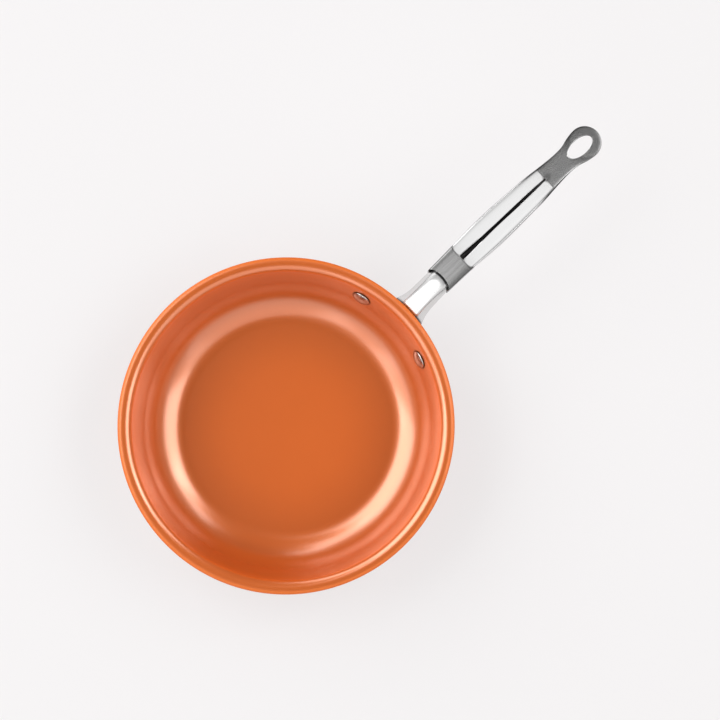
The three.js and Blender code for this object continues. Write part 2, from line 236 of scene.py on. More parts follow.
class Wire:
    # one output of a node, which can be used in sums
    def __init__(self, board, socket):
        self.board = board
        self.socket = socket

    def calc(self, operation, *values):
        return self.board.add("ShaderNodeMath", {"operation": operation}, dict(enumerate(values)))

    def __add__(self, other):
        return self.calc("ADD", self, other)

    def __sub__(self, other):
        return self.calc("SUBTRACT", self, other)

    def __rsub__(self, other):
        return self.calc("SUBTRACT", other, self)

    def __mul__(self, other):
        return self.calc("MULTIPLY", self, other)

    def __truediv__(self, other):
        return self.calc("DIVIDE", self, other)

    def __pow__(self, other):
        return self.calc("POWER", self, other)

    def __abs__(self):
        return self.calc("ABSOLUTE", self)

    def most(self, other):
        return self.calc("MAXIMUM", self, other)

    __radd__ = __add__
    __rmul__ = __mul__

    def fade(self, low, high):
        # 0 below low and 1 above high, softly between
        settings = {"interpolation_type": "SMOOTHSTEP"}
        return self.board.add("ShaderNodeMapRange", settings, {0: self, 1: low, 2: high})


class Board:
    # the node tree of a material or of the world
    def __init__(self, owner):
        owner.use_nodes = True
        self.owner = owner
        self.tree = owner.node_tree
        self.tree.nodes.clear()

    def add(self, kind, settings, values, output=0):
        node = self.tree.nodes.new(kind)
        for key, value in settings.items():
            setattr(node, key, value)
        for key, value in values.items():
            if isinstance(value, Wire):
                self.tree.links.new(value.socket, node.inputs[key])
            else:
                node.inputs[key].default_value = value
        return Wire(self, node.outputs[output] if len(node.outputs) else None)

    def objectPlace(self):
        return self.add("ShaderNodeTexCoord", {}, {}, "Object")

    def axes(self, place):
        split = self.add("ShaderNodeSeparateXYZ", {}, {0: place})
        return [Wire(self, output) for output in split.socket.node.outputs]

    def stretched(self, place, scale):
        return self.add("ShaderNodeMapping", {}, {"Vector": place, "Scale": scale})

    def noise(self, place, scale, detail):
        return self.add("ShaderNodeTexNoise", {}, {"Vector": place, "Scale": scale, "Detail": detail})

    def mixed(self, share, first, second):
        values = {0: share, 6: first, 7: second}  # a Mix node's colours
        return self.add("ShaderNodeMix", {"data_type": "RGBA"}, values, 2)

    def bumped(self, height, distance, strength):
        values = {"Strength": strength, "Distance": distance, "Height": height}
        return self.add("ShaderNodeBump", {}, values)

    def surface(self, matt=None, **values):
        # matt: the share and colour of a dull layer over it
        named = {key.replace("_", " "): value for key, value in values.items()}
        shader = self.add("ShaderNodeBsdfPrincipled", {}, named)
        if matt:
            layer = self.add("ShaderNodeBsdfDiffuse", {}, {"Color": matt[1]})
            shader = self.add("ShaderNodeMixShader", {}, {0: matt[0], 1: shader, 2: layer})
        self.add("ShaderNodeOutputMaterial", {}, {"Surface": shader})


def rgb(red, green, blue):
    return (red, green, blue, 1)


# pan body

pan = {
    "rimRadius": 127,  # outermost edge of the lip
    "cavityDepth": 49,  # from the floor to the crest of the lip
    "wallThickness": 2.5,
    "floorThickness": 3.2,
    "wallSlope": 72,  # from the floor
    "bendRadius": 22,  # where the floor turns up
    "bendSlope": 22,  # at the end of that bend
    "cornerRadius": 38,  # from the bend to the wall
    "lipRadius": 7.5,  # upper face of the rolled lip
    "lipStart": 80,  # slope of the lip where it leaves the wall
    "lipDroop": 24,  # slope of the lip past its crest
    "baseStep": 3,  # how far the flat base stays inside the floor's edge
    "baseRound": (1.2, 0.05),
    "recessRound": (0.3, 0.2),  # edge of the recess for the disc
    "floorRings": (0, 15, 30, 45, 60, 72, 79),
    "floorMargin": 0.6,  # from the last ring of the floor to the bend
    "wallRings": (0.03, 0.25, 0.5, 0.75, 0.97),
    "insideSteps": (8, 26, 26),  # of the bend, the corner and the lip
    "outsideSteps": (6, 18, 16),
    "edgeSteps": 10,
    "spinSteps": 180,
    "smoothAngle": 30,
}
disc = {
    "margin": 11,  # from the edge of the flat base
    "thickness": 0.8,
    "proud": 0.4,  # how far it stands out of the body
    "chamfer": 0.5,
    "chamferRound": (0.15, 0.35),
    "studRadius": 2.4,
    "studRecess": 0.15,  # the studs end this far inside its face
    "studPitch": 18.5,  # between the rings of studs
    "studRings": 3,
    "studSides": 20,
}
rivet = {
    "spacing": 64.4,  # between the two heads
    "margin": 2.75,  # from the crease under the lip to the edge of a head
    "shankRadius": 2.5,
    "headRadius": 7.2,
    "headHeight": 2.7,
    "headEdge": 0.6,  # straight edge under the dome
    "tailRadius": 4.8,
    "tailHeight": 2,
    "tailRound": (0.3, 0.2),
    "holeSides": 32,
    "spinSteps": 64,
    "smoothAngle": 40,
}
flange = {
    "thickness": 2,
    "lobeMargin": 2.6,  # round the tail of each rivet
    "depth": 20,  # from its upper edge to its lower one
    "foot": 20,  # half width of that lower edge
    "footRadius": 4,
    "margin": 3,  # of the strip that it is cut from
    "spread": 26,  # of that strip, to each side
    "rows": 40,
    "columns": 80,
}

wallSlope = radians(pan["wallSlope"])
wallThickness = pan["wallThickness"]
lipRadius = pan["lipRadius"]
rimRadius = pan["rimRadius"]
cornerRadius = pan["cornerRadius"]
bendRadius = pan["bendRadius"]
bendSlope = radians(pan["bendSlope"])
floorHeight = disc["proud"] + pan["floorThickness"]
crestHeight = floorHeight + pan["cavityDepth"]
edgeRadius = wallThickness / 2
lipDroop = radians(pan["lipDroop"])
lipStart = radians(pan["lipStart"])
crestRadius = rimRadius - edgeRadius - (lipRadius - edgeRadius) * sin(lipDroop)
lipCentre = (crestRadius, crestHeight - lipRadius)
lipUnderside = lipCentre[1] + (lipRadius - edgeRadius) * cos(lipDroop) - edgeRadius
creaseRadius = crestRadius - lipRadius * sin(lipStart)
creaseHeight = lipCentre[1] + lipRadius * cos(lipStart)
bendHeight = floorHeight + bendRadius * (1 - cos(bendSlope))
straightHeight = bendHeight + cornerRadius * (cos(bendSlope) - cos(wallSlope))
straightRadius = creaseRadius - (creaseHeight - straightHeight) / tan(wallSlope)
bendEnd = straightRadius - cornerRadius * (sin(wallSlope) - sin(bendSlope))
floorRadius = bendEnd - bendRadius * sin(bendSlope)
baseRadius = floorRadius - pan["baseStep"]
discRadius = baseRadius - disc["margin"]
headRadius = rivet["headRadius"]
rivetDrop = headRadius + rivet["margin"]
rivetRadius = creaseRadius - rivetDrop * cos(wallSlope)
rivetHeight = creaseHeight - rivetDrop * sin(wallSlope)
rivetAngle = asin(rivet["spacing"] / 2 / rivetRadius)
headSeat = seatGap + headRadius ** 2 * sin(wallSlope) / (2 * rivetRadius)
tailSeat = -(wallThickness + flange["thickness"] + 2 * seatGap)


def outerWall(offset, height):
    inner = creaseRadius + (height - creaseHeight) / tan(wallSlope)
    return inner + (wallThickness + offset) / sin(wallSlope)


def rivetFrame(side):
    turn = Matrix.Rotation(side * rivetAngle, 4, "Z")
    place = Matrix.Translation(Vector((rivetRadius, 0, rivetHeight)) * mm)
    tilt = Matrix.Rotation(-wallSlope, 4, "Y")
    return turn @ place @ tilt


def rivetHoles(radius):
    holes = []
    for side in (1, -1):
        low = tailSeat - rivet["tailHeight"]
        high = headSeat + rivet["headHeight"]
        deselect()
        bpy.ops.mesh.primitive_cylinder_add(
            vertices=rivet["holeSides"], radius=radius * mm, depth=(high - low) * mm
        )
        hole = started("hole")
        middle = Matrix.Translation((0, 0, (low + high) / 2 * mm))
        placePiece(hole, rivetFrame(side) @ middle)
        holes.append(hole)
    return joinAll(holes, "holes")


def studs(radius, low, high):
    # rings of round studs, each ring with six more than the one inside it
    bars = []
    for ring in range(1, disc["studRings"] + 1):
        for k in range(6 * ring):
            angle = k * pi / (3 * ring)
            reach = ring * disc["studPitch"]
            place = Vector((reach * cos(angle), reach * sin(angle), (low + high) / 2)) * mm
            deselect()
            bpy.ops.mesh.primitive_cylinder_add(
                vertices=disc["studSides"], radius=radius * mm, depth=(high - low) * mm, location=place
            )
            bars.append(bpy.context.object)
    stack = joinAll(bars, "studs")
    bpy.ops.object.transform_apply(location=True, rotation=True, scale=True)
    return stack


def makeBody():
    bendCentre = (floorRadius, floorHeight + bendRadius)
    cornerFrom = bendSlope - pi / 2
    cornerCentre = arc(bendCentre, bendRadius - cornerRadius, cornerFrom, cornerFrom, 1)[0]
    cornerEnd = wallSlope - pi / 2
    lipFrom = pi / 2 + lipStart
    lipTo = pi / 2 - lipDroop
    sheetEnd = arc(lipCentre, lipRadius - edgeRadius, lipTo, lipTo, 1)[0]
    wallStart = (straightRadius, straightHeight)
    wallEnd = (creaseRadius, creaseHeight)
    outerCrease = creaseHeight - wallThickness * cos(wallSlope)
    outerStart = (outerWall(0, outerCrease), outerCrease)
    recess = discRadius + seatGap
    proud = disc["proud"]
    baseOut, baseUp = pan["baseRound"]
    recessOut, recessUp = pan["recessRound"]

    # the inside, from the middle of the floor to the lip's edge
    bendSteps, cornerSteps, lipSteps = pan["insideSteps"]
    profile = [(radius, floorHeight) for radius in (*pan["floorRings"], floorRadius - pan["floorMargin"])]
    profile += arc(bendCentre, bendRadius, -pi / 2, cornerFrom, bendSteps)
    profile += arc(cornerCentre, cornerRadius, cornerFrom, cornerEnd, cornerSteps)[1:]
    profile += [between(wallStart, wallEnd, share) for share in pan["wallRings"]]
    profile += arc(lipCentre, lipRadius, lipFrom, lipTo, lipSteps)
    profile += arc(sheetEnd, edgeRadius, lipTo, lipTo - pi, pan["edgeSteps"])[1:]

    # the outside, back to the middle of the base
    bendSteps, cornerSteps, lipSteps = pan["outsideSteps"]
    profile += arc(lipCentre, lipRadius - wallThickness, lipTo, lipFrom, lipSteps)[1:]
    outside = arc(cornerCentre, cornerRadius + wallThickness, cornerEnd, cornerFrom, cornerSteps)
    outside += arc(bendCentre, bendRadius + wallThickness, cornerFrom, -pi / 2, bendSteps)[1:]
    profile.append(outerStart)
    profile += [between(outerStart, outside[0], share) for share in pan["wallRings"][1:]]
    profile += outside[:-1]
    profile += [
        (baseRadius + baseOut, proud + baseUp),
        (baseRadius, proud),
        (recess + recessOut, proud),
        (recess, proud + recessUp),
        (recess, disc["thickness"]),
        (0, disc["thickness"]),
    ]
    body = spinProfile("panBody", profile, pan["spinSteps"])
    top = disc["thickness"] + pan["floorThickness"] / 2
    combine(body, studs(disc["studRadius"], disc["studRecess"], top), "UNION")
    combine(body, rivetHoles(rivet["shankRadius"] + seatGap), "DIFFERENCE")
    shadeSmooth(body, pan["smoothAngle"])
    return body


def makeDisc():
    thickness = disc["thickness"]
    chamfer = disc["chamfer"]
    roundIn, roundDown = disc["chamferRound"]
    profile = [
        (0, thickness),
        (discRadius, thickness),
        (discRadius, chamfer),
        (discRadius - roundIn, chamfer - roundDown),
        (discRadius - chamfer, 0),
        (0, 0),
    ]
    plate = spinProfile("inductionDisc", profile, pan["spinSteps"])
    holes = studs(disc["studRadius"] + seatGap, -thickness, 2 * thickness)
    combine(plate, holes, "DIFFERENCE")
    shadeSmooth(plate, pan["smoothAngle"])
    return plate


def makeRivets():
    dome = rivet["headHeight"] - rivet["headEdge"]
    headDome = (headRadius ** 2 + dome ** 2) / (2 * dome)
    headCentre = (0, headSeat + rivet["headHeight"] - headDome)
    headAngle = pi / 2 - asin(headRadius / headDome)
    tailRadius = rivet["tailRadius"]
    tailHeight = rivet["tailHeight"]
    tailDome = (tailRadius ** 2 + tailHeight ** 2) / (2 * tailHeight)
    tailCentre = (0, tailSeat - tailHeight + tailDome)
    tailAngle = asin(tailRadius / tailDome) - pi / 2
    roundIn, roundDown = rivet["tailRound"]
    edge = rivet["headEdge"] / 2
    profile = arc(headCentre, headDome, pi / 2, headAngle, 14)[:-1]
    profile += arc((headRadius - edge, headSeat + edge), edge, pi / 3, -pi / 2, 6)
    profile += [
        (rivet["shankRadius"], headSeat),
        (rivet["shankRadius"], tailSeat),
        (tailRadius - roundIn, tailSeat),
        (tailRadius, tailSeat - roundDown),
    ]
    profile += arc(tailCentre, tailDome, tailAngle, -pi / 2, 10)[1:]
    left = spinProfile("rivetLeft", profile, rivet["spinSteps"])
    shadeSmooth(left, rivet["smoothAngle"])
    activate(left)
    bpy.ops.object.duplicate(linked=False)
    right = started("rivetRight")
    placePiece(left, rivetFrame(1))
    placePiece(right, rivetFrame(-1))
    return left, right


# handle

handle = {
    "shellThickness": 1.2,
    "length": 163.2,
    "reach": 29.2,  # from the edge of the lip to the mouth
    "mouthWidth": 21.6,
    "mouthThickness": 12.4,
    "mouthRise": 15.6,  # top of the mouth over the crest of the lip
    "mouthSetback": 4.7,  # the top of the mouth lies this much behind its sides
    "mouthSquareness": 18,  # power of the section's outline: 2 is an ellipse
    "frontSlope": 20,  # top of the handle, from the mouth to the groove
    "gripSlope": 2,
    "gripWidth": 25.5,
    "gripThickness": 13,
    "gripMiddle": 54,  # from the mouth, as are the groove's ends
    "gripSquareness": 10,
    "tipSlope": -4,
    "bendLength": 0.3,  # of the two bends at the ends of the grip
    "waistWidth": 17.8,
    "waistFromTip": 34,
    "tipRadius": 12.4,
    "tipSquareness": 12,
    "grooveMouth": 4.6,  # width of the groove at its pan end
    "grooveWidth": 2.4,
    "grooveSpread": 1.12,  # width of the close columns, as a share of the groove's
    "grooveDepth": 2.6,
    "grooveStart": 23,
    "grooveEnd": 109.4,
    "grooveRampIn": 4,
    "grooveRampOut": 12,
    "eyeLength": 23.4,
    "eyeWidth": 11.9,
    "eyeRim": 5.8,  # from the eye to the tip
    "eyeRound": 0.3,  # rounding of the eye's edge
    "eyeTurn": 75,  # how far that rounding turns
    "eyeSpill": (0.4, 1.2),  # the cutter reaches this far past it, up and out
    "eyeSteps": 6,
    "eyeSides": 96,
    "rows": 84,
    "tipRows": 28,
    "bendRows": (-0.5, -0.15, 0.15, 0.5),  # close rows at each bend
    "bendClear": 0.9,  # no other row is closer to a bend
    "grooveColumns": 8,
    "sideColumns": 34,
    "outlineSteps": 120,
    "smoothAngle": 35,
}

mouthX = rimRadius + handle["reach"]
waistAt = handle["length"] - handle["waistFromTip"]
tipCentre = handle["length"] - handle["tipRadius"]
gripMiddle = handle["gripMiddle"]
grooveStart = handle["grooveStart"]
grooveEnd = handle["grooveEnd"]
eyeThickness = 2 * handle["shellThickness"] + seatGap
frontSlope, gripSlope, tipSlope = [
    tan(radians(handle[name])) for name in ("frontSlope", "gripSlope", "tipSlope")
]

widthAlong = along([
    (0, handle["mouthWidth"]),
    (grooveStart, lerp(handle["mouthWidth"], handle["gripWidth"], 0.25)),
    (gripMiddle, handle["gripWidth"]),
    (lerp(gripMiddle, waistAt, 0.5), lerp(handle["gripWidth"], handle["waistWidth"], 0.3)),
    (waistAt, handle["waistWidth"]),
    (lerp(waistAt, tipCentre, 0.3), lerp(handle["waistWidth"], 2 * handle["tipRadius"], 0.17)),
    (lerp(waistAt, tipCentre, 0.6), lerp(handle["waistWidth"], 2 * handle["tipRadius"], 0.68)),
    (tipCentre, 2 * handle["tipRadius"]),
], endSlope=0)
bodyThicknessAlong = along([
    (0, handle["mouthThickness"]),
    (lerp(grooveStart, gripMiddle, 0.3), handle["gripThickness"]),
    (lerp(gripMiddle, waistAt, 0.15), handle["gripThickness"]),
    (lerp(gripMiddle, waistAt, 0.8), lerp(handle["gripThickness"], eyeThickness, 0.58)),
    (waistAt, eyeThickness),
    (handle["length"], eyeThickness),
])
squarenessAlong = along([
    (0, handle["mouthSquareness"]),
    (grooveStart, lerp(handle["mouthSquareness"], handle["gripSquareness"], 0.3)),
    (gripMiddle, handle["gripSquareness"]),
    (handle["length"], handle["tipSquareness"]),
])
grooveWidthAlong = along([
    (grooveStart, handle["grooveMouth"]),
    (gripMiddle, handle["grooveWidth"]),
    (grooveEnd - handle["grooveRampOut"], handle["grooveWidth"]),
    (grooveEnd, handle["grooveWidth"] / 2),
])


def thicknessAlong(distance):
    return max(eyeThickness, bodyThicknessAlong(distance))


def bendFrom(distance, place):
    # 0 before a bend and the distance past it after it, rounded between
    past = (distance - place) / handle["bendLength"] + 0.5
    return handle["bendLength"] * (max(0, past - 0.5) if past > 1 else max(0, past) ** 2 / 2)


def riseAlong(distance):
    rise = handle["mouthRise"] + frontSlope * distance
    rise += (gripSlope - frontSlope) * bendFrom(distance, grooveStart)
    return rise + (tipSlope - gripSlope) * bendFrom(distance, grooveEnd)


def seamAlong(distance):
    return crestHeight + riseAlong(distance) - thicknessAlong(distance) / 2


def sectionHeight(distance):
    return (thicknessAlong(distance) - seatGap) / 2


def sectionPoints(distance):
    # half of a section from the middle of the top to the seam, as across and above the seam
    half = widthAlong(distance) / 2
    height = sectionHeight(distance)
    power = squarenessAlong(distance)
    inner = handle["grooveSpread"] * grooveWidthAlong(distance) / 2
    columns = handle["grooveColumns"]
    steps = handle["outlineSteps"]
    middle = []
    for k in range(columns):
        across = inner * k / columns
        middle.append((across, height * (1 - (across / half) ** power) ** (1 / power)))
    start = acos((inner / half) ** (power / 2))
    side = []
    for k in range(steps + 1):
        angle = start * (1 - k / steps)
        side.append((half * cos(angle) ** (2 / power), height * sin(angle) ** (2 / power)))
    return middle + evenly(side, handle["sideColumns"])


def rowPlaces():
    # even rows from the mouth to the tip's centre, with close ones at the two bends
    bends = (grooveStart, grooveEnd)
    places = [bend + step for bend in bends for step in handle["bendRows"]]
    for k in range(handle["rows"] + 1):
        place = tipCentre * k / handle["rows"]
        if all(abs(place - bend) > handle["bendClear"] for bend in bends):
            places.append(place)
    return sorted(places)


def shellPlace(side):
    # where each point of the blank goes: straight rows to the tip's centre, then a fan round it
    rows = {}
    straight = rowPlaces()
    last = len(straight) - 1
    half = handle["grooveColumns"] + handle["sideColumns"]

    def place(row, column):
        turn = max(0, row - last) / handle["tipRows"] * pi / 2
        distance = straight[min(row, last)]
        if row not in rows:
            rows[row] = sectionPoints(distance)
        across, above = rows[row][abs(column - half)]
        hand = 1 if column > half else -1
        ahead = distance + across * sin(turn)
        height = sectionHeight(distance)
        depth = 0
        if side > 0:
            lean = handle["mouthSetback"] * max(0, 1 - distance / grooveStart)
            ahead += lean * sqrt(max(0, 1 - (2 * across / widthAlong(distance)) ** 2))
            slot = grooveWidthAlong(distance) / 2
            depth = min(handle["grooveDepth"], max(0, height - handle["shellThickness"]) / 2)
            depth *= ease(distance, grooveStart, grooveStart + handle["grooveRampIn"])
            depth *= ease(-distance, -grooveEnd, handle["grooveRampOut"] - grooveEnd)
            depth *= max(0, 1 - (across / slot) ** 3)
        up = seamAlong(ahead) + side * (seatGap / 2 + above) - depth
        return mouthX + ahead, hand * across * cos(turn), up

    return place


def eyeCutter():
    # an elliptical plug, flared where it leaves the two faces of the handle
    thick = eyeThickness / 2
    flare = handle["eyeRound"]
    steps = handle["eyeSteps"]
    spillUp, spillOut = handle["eyeSpill"]
    levels = [(thick + spillUp, flare + spillOut)]
    for step in range(steps + 1):
        angle = radians(handle["eyeTurn"]) * (1 - step / steps)
        levels.append((thick - flare + flare * sin(angle), flare * (1 - cos(angle))))
    levels += [(-height, grow) for height, grow in reversed(levels)]
    centre = handle["length"] - handle["eyeRim"] - handle["eyeLength"] / 2
    deselect()
    bpy.ops.mesh.primitive_circle_add(vertices=handle["eyeSides"], radius=mm, fill_type="NGON")
    cutter = started("eyeCutter")
    setMode("EDIT")
    bpy.ops.mesh.select_all(action="SELECT")
    for level in levels[1:]:
        bpy.ops.mesh.extrude_region_move(TRANSFORM_OT_translate={"value": (0, 0, -mm)})
    mergeAndFaceOut()
    setMode("OBJECT")
    for vertex in cutter.data.vertices:
        height, grow = levels[round(-vertex.co.z / mm)]
        direction = vertex.co.xy.normalized()
        x = centre + (handle["eyeLength"] / 2 + grow) * direction.x
        y = (handle["eyeWidth"] / 2 + grow) * direction.y
        vertex.co = Vector((mouthX + x, y, seamAlong(x) + height)) * mm
    return cutter


def makeShell(name, side):
    rows = len(rowPlaces()) - 1 + handle["tipRows"]
    columns = 2 * (handle["grooveColumns"] + handle["sideColumns"])
    shell = pressSheet(name, rows, columns, shellPlace(side), (0, 0, side))
    modify(shell, "SOLIDIFY", thickness=handle["shellThickness"] * mm, offset=-1, use_even_offset=True)
    combine(shell, eyeCutter(), "DIFFERENCE")
    shadeSmooth(shell, handle["smoothAngle"])
    return shell


# bracket

bracket = {
    "neckThickness": 2,
    "neckSlope": 31,  # under the lip
    "neckDepth": 16,  # at the edge of the lip
    "neckWidth": 28.4,  # at the edge of the lip
    "crownWidth": 13,  # flat top of the neck
    "crownRound": 1.8,
    "sideRound": 1.2,
    "skirt": 0.9,  # width of the lower edge, as a share of the shoulders'
    "tongueSkirt": 0.65,  # the same inside the handle
    "tongueTop": 0.75,  # shares of the hollow in the mouth, above and below its seam
    "tongueBottom": 0.8,
    "lipClearance": 0.4,  # between the lip and the top of the neck
    "tongueMargin": 3,  # from the end of the neck to the groove
    "narrowing": (-0.2, 0.5),  # from the mouth's edge, where the neck gets narrower
    "shoulderBlend": 1.5,  # over the shoulders that edge is an arc
    "endLength": 5.5,  # rounded end in front of the mouth's edge
    "endDepth": 0.55,
    "endLimit": 1.1,
    "rise": 0.573,  # of the neck's top, up to the mouth
    "rows": 90,
    "halfColumns": 40,
    "cornerSteps": 6,
    "voxel": 0.55,
    "smoothing": 14,
    "smoothAngle": 50,
}

tongueLength = grooveStart - bracket["tongueMargin"]
neckReach = handle["reach"]
lobeRadius = rivet["tailRadius"] + flange["lobeMargin"]
flangeTop = rivetHeight + lobeRadius * sin(wallSlope)
flangeBottom = flangeTop - flange["depth"]
neckRoot = outerWall(0, flangeBottom) - 2 * flange["thickness"] - rimRadius
neckEnd = neckReach + tongueLength
mouthHalf = handle["mouthWidth"] / 2
tongueHalf = mouthHalf - handle["shellThickness"] - seatGap
mouthHollow = (handle["mouthThickness"] - seatGap) / 2 - handle["shellThickness"]
tongueHeight = bracket["tongueTop"] * mouthHollow
tongueDrop = bracket["tongueBottom"] * mouthHollow
neckTopAtLip = lipUnderside - bracket["lipClearance"]
neckApex = neckReach + handle["mouthSetback"]

neckTop = along([
    (neckRoot, neckTopAtLip + neckRoot * tan(radians(bracket["neckSlope"]))),
    (0, neckTopAtLip),
    (neckApex, neckTopAtLip + bracket["rise"] * neckApex),
    (neckEnd, seamAlong(tongueLength) + tongueHeight),
])
neckShoulder = along([
    (neckRoot, lerp(flangeBottom, flangeTop, 0.3)),
    (0, neckTopAtLip - bracket["neckDepth"] / 2),
    (neckReach, seamAlong(0)),
    (neckEnd, seamAlong(tongueLength)),
])
neckBottom = along([
    (neckRoot, flangeBottom),
    (0, neckTopAtLip - bracket["neckDepth"]),
    (neckReach, seamAlong(0) - tongueDrop),
    (neckEnd, seamAlong(tongueLength) - tongueDrop),
])
crownHalf = along([
    (neckRoot, 0.7 * bracket["crownWidth"]),
    (0, 0.53 * bracket["crownWidth"]),
    (0.4 * neckReach, 0.5 * bracket["crownWidth"]),
    (neckEnd, 0.47 * bracket["crownWidth"]),
])
sideHalf = along([
    (neckRoot, flange["foot"] - flange["thickness"]),
    (0, bracket["neckWidth"] / 2),
    (0.25 * neckReach, lerp(handle["mouthWidth"], bracket["neckWidth"], 0.25) / 2),
    (neckReach, mouthHalf - seatGap),
])


def rounded(before, corner, after, cut):
    steps = bracket["cornerSteps"]
    tip = Vector(corner)
    start = tip + (Vector(before) - tip).normalized() * cut
    end = tip + (Vector(after) - tip).normalized() * cut
    points = []
    for step in range(steps + 1):
        t = step / steps
        points.append(tuple(start * (1 - t) ** 2 + tip * 2 * t * (1 - t) + end * t * t))
    return points


def neckRun(crown, side, skirt, top, shoulder, bottom):
    # half of the neck's section, from the middle of its top to its lower edge
    run = [(0, top)]
    run += rounded((0, top), (crown, top), (side, shoulder), bracket["crownRound"])
    run += rounded((crown, top), (side, shoulder), (skirt, bottom), bracket["sideRound"])
    run.append((skirt, bottom))
    return evenly(run, bracket["halfColumns"])


def mouthEdge(across):
    share = min(1, abs(across) / mouthHalf)
    return neckReach + handle["mouthSetback"] * sqrt(1 - share ** 2)


def neckPlace():
    # where each point of the blank goes: narrower from the mouth's edge on, to fit inside the handle
    rows = {}
    half = bracket["halfColumns"]

    def place(row, column):
        distance = lerp(neckRoot, neckEnd, row / bracket["rows"])
        shoulder = neckShoulder(distance)
        bottom = neckBottom(distance)
        if row not in rows:
            crown = crownHalf(distance)
            side = sideHalf(distance)
            heights = (neckTop(distance), shoulder, bottom)
            outer = neckRun(crown, side, bracket["skirt"] * side, *heights)
            inner = neckRun(crown, tongueHalf, bracket["tongueSkirt"] * tongueHalf, *heights)
            rows[row] = outer, inner
        outer, inner = rows[row]
        k = abs(column - half)
        hand = 1 if column > half else -1
        lift = ease(outer[k][1], shoulder, shoulder + bracket["shoulderBlend"])
        reach = lerp(neckReach, mouthEdge(outer[k][0]), lift)
        narrow = ease(distance, *[reach + step for step in bracket["narrowing"]])
        across = lerp(outer[k][0], inner[k][0], narrow)
        up = lerp(outer[k][1], inner[k][1], narrow)
        edge = mouthEdge(across)
        upper = ease(up, bottom, shoulder)
        drop = min(bracket["endLimit"], max(0, (distance - edge) / bracket["endLength"] + 1))
        up -= upper * bracket["endDepth"] * drop ** 2
        return rimRadius + distance, hand * across, up

    return place


def flangeOutline():
    lobeSide = rivet["spacing"] / 2
    lobeHeight = flangeTop - lobeRadius
    lobeBottom = flangeTop - 2 * lobeRadius
    foot = flange["foot"]
    bend = lerp(foot, lobeSide, 0.5)
    right = arc((lobeSide, lobeHeight), lobeRadius, pi / 2, -pi / 2, 20)
    for t in (0.2, 0.4, 0.6, 0.8, 1):
        across = lobeSide * (1 - t) ** 2 + bend * 2 * t * (1 - t) + foot * t * t
        up = lobeBottom * (1 - t * t) + (flangeBottom + flange["footRadius"] / 2) * t * t
        right.append((across, up))
    corner = (foot, flangeBottom)
    right += rounded(right[-1], corner, (0, flangeBottom), flange["footRadius"] / 2)[1:]
    return right + [(-across, up) for across, up in reversed(right)]


def makeFlange():
    # a strip of the wall's cone, cut to the flange's outline
    low = flangeBottom - flange["margin"]
    high = flangeTop + flange["margin"]
    spread = radians(flange["spread"])

    def place(row, column):
        height = lerp(low, high, row / flange["rows"])
        angle = lerp(-spread, spread, column / flange["columns"])
        radius = outerWall(seatGap + flange["thickness"], height)
        return radius * cos(angle), radius * sin(angle), height

    strip = pressSheet("flange", flange["rows"], flange["columns"], place, (1, 0, 0))
    modify(strip, "SOLIDIFY", thickness=flange["thickness"] * mm, offset=-1, use_even_offset=True)
    outline = flangeOutline()
    deselect()
    bpy.ops.mesh.primitive_circle_add(vertices=len(outline), radius=mm, fill_type="NGON")
    cutter = started("flangeCutter")
    for vertex, (across, up) in zip(cutter.data.vertices, outline):
        vertex.co = Vector((rimRadius / 2, across, up)) * mm
    setMode("EDIT")
    bpy.ops.mesh.select_all(action="SELECT")
    bpy.ops.mesh.extrude_region_move(TRANSFORM_OT_translate={"value": (rimRadius * mm, 0, 0)})
    mergeAndFaceOut()
    setMode("OBJECT")
    combine(strip, cutter, "INTERSECT")
    return strip


def makeBracket():
    # the pressed neck, cut off inside the flange and grown together with it
    columns = 2 * bracket["halfColumns"]
    piece = pressSheet("handleBracket", bracket["rows"], columns, neckPlace(), (0, 0, 1))
    modify(piece, "SOLIDIFY", thickness=bracket["neckThickness"] * mm, offset=-1, use_even_offset=True)
    middle = seatGap + flange["thickness"] / 2
    core = spinProfile("wallCore", [
        (0, crestHeight),
        (outerWall(middle, crestHeight), crestHeight),
        (outerWall(middle, 0), 0),
        (0, 0),
    ], pan["spinSteps"])
    combine(piece, core, "DIFFERENCE", folded=True)
    piece = joinAll([piece, makeFlange()], "handleBracket")
    modify(piece, "REMESH", mode="VOXEL", voxel_size=bracket["voxel"] * mm)
    modify(piece, "SMOOTH", factor=0.5, iterations=bracket["smoothing"])
    combine(piece, rivetHoles(rivet["shankRadius"] + seatGap), "DIFFERENCE")
    shadeSmooth(piece, bracket["smoothAngle"])
    return piece


# finishes

coat = {
    "deep": (0.715, 0.13, 0.011),
    "light": (0.79, 0.152, 0.016),
    "dark": (0.02, 0.003, 0.0005),  # mixed in by the painted shade and shadow below
    "floorEdge": (40, 84),  # radii over which painted shade darkens the floor
    "floorShade": 0.12,
    "wallFoot": (90, 102),
    "wallShade": 0.19,
    "creaseEdge": (-3, 2),  # from the crease under the lip
    "creaseLift": 0.2,  # the painted shade is taken off the lip by this much
    "seatWidth": 1.4,  # painted shadow ring round a rivet's head
    "seatShade": 0.6,
    "trimEdge": (0.3, 2.4),  # from the crest of the lip, duller past it
    "trimRoughness": 0.3,
    "metallic": 0.2,
    "roughness": 0.27,
    "cloudScale": 22,
    "fleckScale": 2600,
    "peelScale": 700,
}


